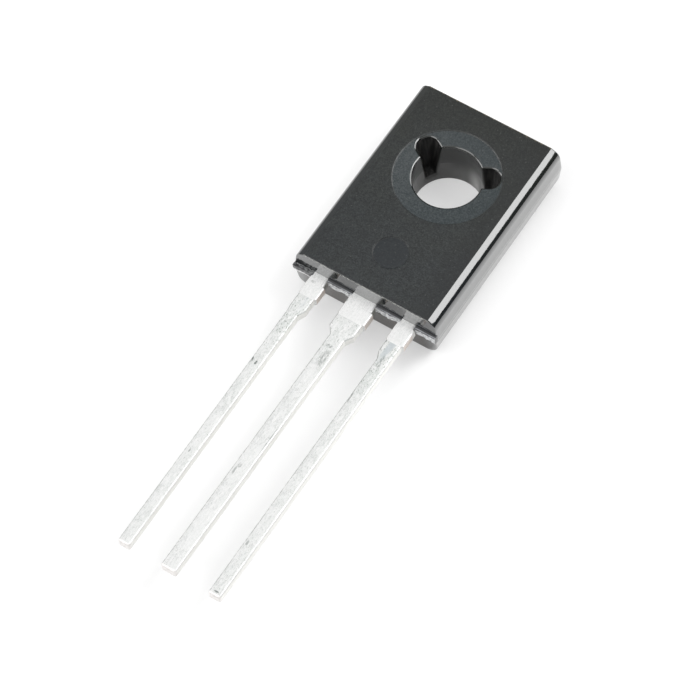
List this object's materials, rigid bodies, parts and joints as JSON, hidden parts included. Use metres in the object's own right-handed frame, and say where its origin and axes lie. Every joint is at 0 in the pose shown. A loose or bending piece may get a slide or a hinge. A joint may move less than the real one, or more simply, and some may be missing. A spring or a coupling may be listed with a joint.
{
  "type": "power transistor",
  "caption": "Flat moulded plastic power transistor with a screw hole, a metal back plate and in-line tinned leads.",
  "frame": {"origin": "centre of the screw hole in the plane of the metal back", "axes": "+Z out of the marked front, along the screw hole; +Y towards the hole end; the leads point to -Y; +X to the right lead as seen from the front"},
  "size_m": [0.0076, 0.0264, 0.0027],
  "materials": {
    "case_epoxy": "dark blue-grey filled epoxy, matte front, smoother sides",
    "tinned_metal": "tin plated copper, satin with rolling marks",
    "silicon": "polished silicon",
    "solder": "dull solder",
    "bond_wire": "bright drawn aluminium"
  },
  "bodies": {
    "root": {"case": "case_epoxy", "collector_frame": "tinned_metal", "emitter_lead": "tinned_metal", "base_lead": "tinned_metal", "chip": "silicon", "chip_solder": "solder", "emitter_wire": "bond_wire", "base_wire": "bond_wire"}
  },
  "joints": []
}
